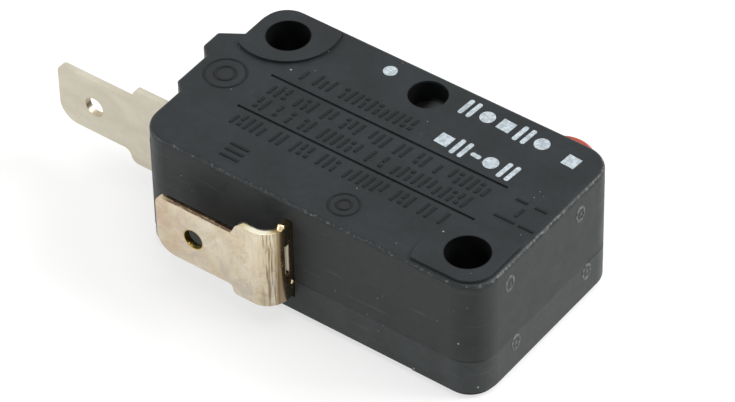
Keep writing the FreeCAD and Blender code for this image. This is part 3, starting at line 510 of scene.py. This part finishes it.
# Moulded relief: rows of short raised strokes by the engraved lines, a few dashes and plain rings, painted
# darker than the case as painted shade.
# A row is first x, last x and y, a dash x, y, length and turn, a ring x, y and its two radii.
relief = {
    "stroke": 0.21, "height": 0.07, "sunk": 0.03, "rounding": 0.035, "seed": 7,
    "tall": 1.2, "lengths": (1.0, 1.0, 0.75, 0.5), "pitch": 0.56, "steps": (1.0, 1.0, 1.0, 1.9), "lean": 84.0,
    "dot": 0.26, "dotWide": 1.3, "dotBelow": 0.6, "dotAway": 1.3, "ringFlat": 0.7,
    "rows": [(-19.0, -9.6, 8.0), (-19.9, -2.0, 5.6), (-19.9, -2.0, 3.95), (-20.2, -2.7, 1.85)],
    "dashes": [(0.0, 6.1, 0.9, 0.0), (0.0, 4.1, 1.6, 0.0), (1.5, 6.1, 0.9, 0.0), (1.7, 4.1, 1.2, 0.0),
               (0.5, 5.1, 0.9, 84.0), (-18.2, -1.5, 1.5, 0.0), (-18.2, -0.9, 1.5, 0.0),
               (-18.2, -0.3, 1.5, 0.0)],
    "rings": [(-23.5, 5.0, 1.45, 0.10), (-23.5, 5.0, 0.70, 0.12), (-9.3, -0.8, 1.05, 0.10),
              (-9.3, -0.8, 0.48, 0.12)],
    # dark and light are darker than the case's own colours: painted shade on the relief.
    "dark": colour(20, 22, 24), "light": colour(32, 35, 37),
}
reliefLevel = caseTop + (relief["height"] - relief["sunk"]) / 2


def reliefPaint():
    paint, shader, place = newPaint("reliefPlasticPaintedShade", IOR=1.5, Specular_IOR_Level=0.12)
    fine = place.noise(9.0, 3.0, 0.6)
    feed(shader, Base_Color=fine.mixed(relief["dark"], relief["light"]), Roughness=fine * 0.12 + 0.40,
         Normal=grain(fine, 0.35, 0.010))
    return paint


def strokeMaster():
    deselectAll()
    bpy.ops.mesh.primitive_cube_add(size=1.0,
                                    scale=(1.0, relief["stroke"], relief["height"] + relief["sunk"]))
    roundTop(relief["rounding"])
    return bpy.context.object


def reliefRow(master, first, last, y, draw):
    made = []
    x = first
    tall = relief["tall"]
    while x < last:
        long = tall * draw.choice(relief["lengths"])
        up = (tall - long) * draw.choice((-0.5, 0.5))
        made.append(copyOf(master, (x, y + up, reliefLevel), relief["lean"], (long, 1.0, 1.0)))
        if long < tall * relief["dotBelow"]:  # a short stroke leaves room for a dot
            dotPlace = (x, y - up * relief["dotAway"], reliefLevel)
            made.append(copyOf(master, dotPlace, relief["lean"], (relief["dot"], relief["dotWide"], 1.0)))
        x += relief["pitch"] * draw.choice(relief["steps"])
    return made


def raisedRing(x, y, radius, thick):
    deselectAll()
    bpy.ops.mesh.primitive_torus_add(major_radius=radius, minor_radius=thick, major_segments=48,
                                     minor_segments=8)
    ring = bpy.context.object
    ring.location = (x, y, caseTop)
    ring.scale = (1.0, 1.0, relief["ringFlat"])
    return ring


draw = random.Random(relief["seed"])
master = strokeMaster()
strokes = []
for first, last, y in relief["rows"]:
    strokes += reliefRow(master, first, last, y, draw)
for x, y, long, turn in relief["dashes"]:
    strokes.append(copyOf(master, (x, y, reliefLevel), turn, (long, 1.0, 1.0)))
bpy.data.objects.remove(master)
shadedReliefPaint = reliefPaint()
settle(strokes, "raisedStrokes", shadedReliefPaint)
settle([raisedRing(*ring) for ring in relief["rings"]], "raisedRings", shadedReliefPaint)
print("door switch: relief done,", len(strokes), "strokes")


# Small oval gate marks on the end wall: a low rim round a nub.
gates = {
    "places": [(8.74, 8.46), (0.73, 8.48), (1.44, 2.60), (9.59, 2.60)],  # y and z
    "wide": 0.42, "tall": 0.56, "rim": 0.09, "rimFlat": 0.6, "rimSunk": 0.01,
    "nub": 0.15, "nubFlat": 0.4, "nubTall": 1.2, "nubSunk": 0.015, "nubAside": 0.05,
    "dark": colour(26, 28, 29), "pale": colour(106, 109, 105),
}


def gatePaint():
    paint, shader, place = newPaint("paleGatePlastic", IOR=1.5)
    fine = place.noise(4.2, 4.0, 0.7).between(0.44, 0.60)
    feed(shader, Base_Color=fine.mixed(gates["dark"], gates["pale"]), Roughness=fine * 0.2 + 0.4,
         Normal=grain(fine, 0.4, 0.02))
    return paint


def gateMark(y, z):
    deselectAll()
    bpy.ops.mesh.primitive_torus_add(major_radius=1.0, minor_radius=gates["rim"] / gates["wide"],
                                     major_segments=28, minor_segments=8, rotation=(0.0, math.pi / 2, 0.0))
    rim = bpy.context.object
    bpy.ops.object.transform_apply(location=False, rotation=True, scale=False)
    rim.scale = (gates["wide"] * gates["rimFlat"], gates["wide"], gates["tall"])
    rim.location = (endWall - gates["rimSunk"], y, z)
    deselectAll()
    bpy.ops.mesh.primitive_uv_sphere_add(segments=12, ring_count=6, radius=gates["nub"])
    nub = bpy.context.object
    nub.scale = (gates["nubFlat"], 1.0, gates["nubTall"])
    nub.location = (endWall - gates["nubSunk"], y + gates["nubAside"], z - gates["nubAside"])
    return [rim, nub]


gatePieces = []
for y, z in gates["places"]:
    gatePieces += gateMark(y, z)
settle(gatePieces, "gateMarks", gatePaint())
print("door switch: gate marks done")


# Two polished burrs that the bending tool left on the side tab's leg: place and half size of each.
burrs = [((-12.26, -3.72, 8.70), (0.30, 0.36, 0.28)), ((-12.12, -2.98, 3.30), (0.12, 0.16, 0.20))]
burrWave = {"height": 0.12, "alongY": 4.0, "alongZ": 3.0}


def burr(place, size):
    deselectAll()
    bpy.ops.mesh.primitive_ico_sphere_add(subdivisions=3, radius=1.0)
    bead = bpy.context.object
    bpy.ops.object.mode_set(mode="EDIT")
    bpy.ops.mesh.select_all(action="SELECT")
    bpy.ops.mesh.vertices_smooth(factor=0.5, repeat=2)
    bpy.ops.object.mode_set(mode="OBJECT")
    for vertex in bead.data.vertices:
        wave = math.sin(vertex.co.y * burrWave["alongY"] + vertex.co.z * burrWave["alongZ"])
        vertex.co *= 1.0 + burrWave["height"] * wave
    bpy.ops.object.shade_smooth()
    bead.scale = size
    bead.location = place
    return bead


def burrPaint():
    paint, shader, place = newPaint("polishedBrass", Metallic=1.0)
    hair = place.noise(5.0, 3.0, 0.6)
    feed(shader, Base_Color=hair.between(0.3, 0.7).mixed(colour(196, 166, 112), colour(232, 214, 176)),
         Roughness=hair * 0.1 + 0.1, Normal=grain(hair, 0.2, 0.01))
    return paint


settle([burr(*look) for look in burrs], "legBurrs", burrPaint())
print("door switch: burrs done")


# Side tab as one strip, bent round on its way into the housing and again to its foot.
# Levels in y and bend radii are those of the strip's middle.
strip = {
    "thick": 0.5, "low": 2.05, "high": 8.55, "narrow": (2.775, 7.525), "edge": 0.035,
    "tip": -21.75, "face": -4.85, "outerBend": 1.40, "leg": -12.35, "innerBend": 0.65, "foot": -0.95,
    "footEnd": -3.4, "shoulderHigh": -15.45, "slope": 0.5, "shoulderLow": -15.45, "fillet": 0.36,
    "slot": ((-12.7, -3.6, 4.25), (-12.0, -3.3, 6.85)),
    "holes": [(-18.65, -4.85, 5.15, 0.75), (-8.0, -0.95, 5.15, 0.625)],  # place and radius
    "rounded": [(-21.75, 7.525, 0.6), (-21.75, 2.775, 1.5), (-14.95, 8.55, 0.35),
                (-15.45, 2.05, 0.36)],  # x, z and radius
}


def carve(piece, cutter):
    select(piece)
    hollow = piece.modifiers.new("hollow", "BOOLEAN")
    hollow.operation = "DIFFERENCE"
    hollow.solver = "EXACT"
    hollow.object = cutter
    bpy.ops.object.modifier_apply(modifier="hollow")
    bpy.data.objects.remove(cutter)


def boxBetween(low, high):
    deselectAll()
    bpy.ops.mesh.primitive_cube_add(size=1.0, location=[(a + b) / 2 for a, b in zip(low, high)],
                                    scale=[b - a for a, b in zip(low, high)])
    bpy.ops.object.transform_apply(location=True, rotation=False, scale=True)
    return bpy.context.object


def roundCorner(piece, x, z, radius):  # rounds the edge that runs through the strip there
    def there(*ends):
        return all(abs(end.x - x) < near and abs(end.z - z) < near for end in ends)

    roundEdges(piece, there, radius, 8)


def goStraight(x, y):
    bpy.ops.mesh.extrude_region_move(TRANSFORM_OT_translate={"value": (x, y, 0.0)})


def turnSquare(x, y, steps, way):
    bpy.ops.mesh.spin(steps=steps, angle=way * math.pi / 2, center=(x, y, 0.0), axis=(0.0, 0.0, 1.0))


def bentTab():
    deselectAll()
    middle = (strip["low"] + strip["high"]) / 2
    bpy.ops.mesh.primitive_plane_add(size=1.0, location=(strip["tip"], strip["face"], middle),
                                     rotation=(0.0, math.pi / 2, 0.0))
    tab = bpy.context.object
    tab.scale = (strip["high"] - strip["low"], strip["thick"], 1.0)
    bpy.ops.object.transform_apply(location=True, rotation=True, scale=True)
    outer, inner = strip["outerBend"], strip["innerBend"]
    bpy.ops.object.mode_set(mode="EDIT")
    bpy.ops.mesh.select_all(action="SELECT")
    goStraight(strip["leg"] - outer - strip["tip"], 0.0)
    turnSquare(strip["leg"] - outer, strip["face"] + outer, 14, -1)
    goStraight(0.0, strip["foot"] - inner - strip["face"] - outer)
    turnSquare(strip["leg"] + inner, strip["foot"] - inner, 8, 1)
    goStraight(strip["footEnd"] - strip["leg"] - inner, 0.0)
    bpy.ops.mesh.select_all(action="SELECT")
    bpy.ops.mesh.remove_doubles(threshold=0.001)
    bpy.ops.mesh.normals_make_consistent(inside=False)
    bpy.ops.object.mode_set(mode="OBJECT")
    start, front, back = strip["tip"] - 1.0, strip["face"] - 1.0, strip["face"] + 1.0
    top, bottom, (narrowLow, narrowHigh) = strip["high"] + 1.0, strip["low"] - 1.0, strip["narrow"]
    above = boxBetween((start, front, narrowHigh), (strip["shoulderHigh"], back, top))
    for vertex in above.data.vertices:
        if vertex.co.x > strip["shoulderHigh"] - 0.1 and vertex.co.z > strip["high"]:
            vertex.co.x += strip["slope"] * (top - narrowHigh) / (strip["high"] - narrowHigh)
    below = boxBetween((start, front, bottom), (strip["shoulderLow"], back, narrowLow))
    roundCorner(below, strip["shoulderLow"], narrowLow, strip["fillet"])
    for cutter in (above, below, boxBetween(*strip["slot"])):
        carve(tab, cutter)
    for x, y, z, radius in strip["holes"]:
        deselectAll()
        bpy.ops.mesh.primitive_cylinder_add(vertices=48, radius=radius, depth=2.0, location=(x, y, z),
                                            rotation=(math.pi / 2, 0.0, 0.0))
        carve(tab, bpy.context.object)
    for corner in strip["rounded"]:
        roundCorner(tab, *corner)
    select(tab)
    edge = tab.modifiers.new("edge", "BEVEL")
    edge.width = strip["edge"]
    edge.segments = 2
    edge.limit_method = "ANGLE"
    edge.angle_limit = math.radians(40)
    bpy.ops.object.modifier_apply(modifier="edge")
    bpy.ops.object.shade_smooth_by_angle(angle=math.radians(32))
    return tab


tab = settle([bentTab()], "bentSideTab", finishes["common_terminal"])
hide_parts("common_terminal")
print("door switch: side tab done")


# Return spring of round wire; the real one shortens as the button goes in, but this piece keeps one length.
coil = {
    "wire": 0.35, "across": 2.05, "turns": 5, "x": -2.0, "z": 5.15, "low": 3.433, "high": 8.495,
    "pressed": 0.56,  # share of its length that is left with the button in
}


def returnSpring():
    deselectAll()
    start = (coil["across"] / 2, 0.0, 0.0)
    bpy.ops.mesh.primitive_circle_add(vertices=12, radius=coil["wire"] / 2, location=start,
                                      rotation=(math.pi / 2, 0.0, 0.0))
    spring = bpy.context.object
    bpy.ops.object.transform_apply(location=True, rotation=True, scale=True)
    coils = spring.modifiers.new("coils", "SCREW")
    coils.iterations = coil["turns"]
    coils.steps = coils.render_steps = 24
    coils.screw_offset = (coil["high"] - coil["low"] - coil["wire"]) / coil["turns"]
    bpy.ops.object.modifier_apply(modifier="coils")
    bpy.ops.object.mode_set(mode="EDIT")
    bpy.ops.mesh.select_all(action="SELECT")
    bpy.ops.mesh.fill_holes(sides=12)
    bpy.ops.mesh.select_all(action="SELECT")
    bpy.ops.mesh.normals_make_consistent(inside=False)
    bpy.ops.object.mode_set(mode="OBJECT")
    bpy.ops.object.shade_smooth()
    spring.rotation_euler = (-math.pi / 2, 0.0, 0.0)
    spring.location = (coil["x"], coil["low"] + coil["wire"] / 2, coil["z"])
    return spring


spring = settle([returnSpring()], "coiledReturnSpring", finishes["return_spring"])
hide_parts("return_spring")
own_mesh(spring)
print("door switch: return spring done")


# Floor, light and camera.
stage = {"floor": colour(250, 250, 249), "world": 0.48, "floorSize": 3.0, "white": 0.6, "gap": 0.00002}
lamps = [  # name, place, size, power
    ("rightLamp", (0.34, 0.33, 0.38), 0.34, 3.70),
    ("topLamp", (0.06, -0.02, 0.62), 0.40, 1.20),
    ("leftLamp", (-0.40, -0.30, 0.16), 0.30, 1.40),
]
lampAim = Vector((-0.011, 0.005, 0.005))
view = {"place": (0.122898, -0.172134, 0.211907), "turn": (47.0257, 1.0056, 36.3102), "lens": 223.0}


def shownRay(tree):  # 1 for the camera and for what metal and clear pieces show
    path = tree.nodes.new("ShaderNodeLightPath")
    kinds = ("Is Camera Ray", "Is Glossy Ray", "Is Transmission Ray")
    seen, glossy, through = (Wire(tree, path.outputs[kind]) for kind in kinds)
    return seen.most(glossy).most(through)


def mixShaders(factor, first, second, out):
    mix = factor.node("ShaderNodeMixShader", {}, {0: factor}).socket.node
    factor.tree.links.new(first, mix.inputs[1])
    factor.tree.links.new(second, mix.inputs[2])
    factor.tree.links.new(mix.outputs[0], out)


def paleFloor():
    deselectAll()
    level = cadBox[0][2] - stage["gap"]
    bpy.ops.mesh.primitive_plane_add(size=stage["floorSize"], location=(0.0, 0.0, level))
    floor = bpy.context.object
    floor.name = "floor"
    paint, shader, place = newPaint("paleFloor", Roughness=0.9, Specular_IOR_Level=0.1)
    shader.inputs["Base Color"].default_value = stage["floor"]
    tree = paint.node_tree
    white = tree.nodes.new("ShaderNodeEmission")
    white.inputs["Strength"].default_value = 1.0
    surface = tree.nodes["Material Output"].inputs["Surface"]
    mixShaders(shownRay(tree) * stage["white"], shader.outputs[0], white.outputs[0], surface)
    floor.data.materials.append(paint)


def softLamp(name, place, size, power):
    bpy.ops.object.light_add(type="AREA", location=place)
    lamp = bpy.context.object
    lamp.name = name
    lamp.data.energy = power
    lamp.data.size = size
    lamp.visible_camera = False
    lamp.rotation_euler = (lampAim - lamp.location).to_track_quat("-Z", "Y").to_euler()


def studioWorld():
    world = bpy.data.worlds.new("studio")
    bpy.context.scene.world = world
    world.use_nodes = True
    tree = world.node_tree
    plain = tree.nodes["Background"]
    plain.inputs["Color"].default_value = (1.0, 1.0, 1.0, 1.0)
    plain.inputs["Strength"].default_value = stage["world"]
    white = tree.nodes.new("ShaderNodeBackground")
    white.inputs["Strength"].default_value = 1.0
    white.inputs["Color"].default_value = (1.0, 1.0, 1.0, 1.0)
    surface = tree.nodes["World Output"].inputs["Surface"]
    mixShaders(shownRay(tree), plain.outputs[0], white.outputs[0], surface)


paleFloor()
studioWorld()
for lamp in lamps:
    softLamp(*lamp)
bpy.ops.object.camera_add(location=view["place"], rotation=[math.radians(a) for a in view["turn"]])
camera = bpy.context.object
camera.data.sensor_width = 36.0
camera.data.lens = view["lens"]
camera.data.clip_start = 0.01
bpy.context.scene.camera = camera
bpy.context.scene.view_settings.view_transform = "Standard"
print("door switch: stage, light and camera done")
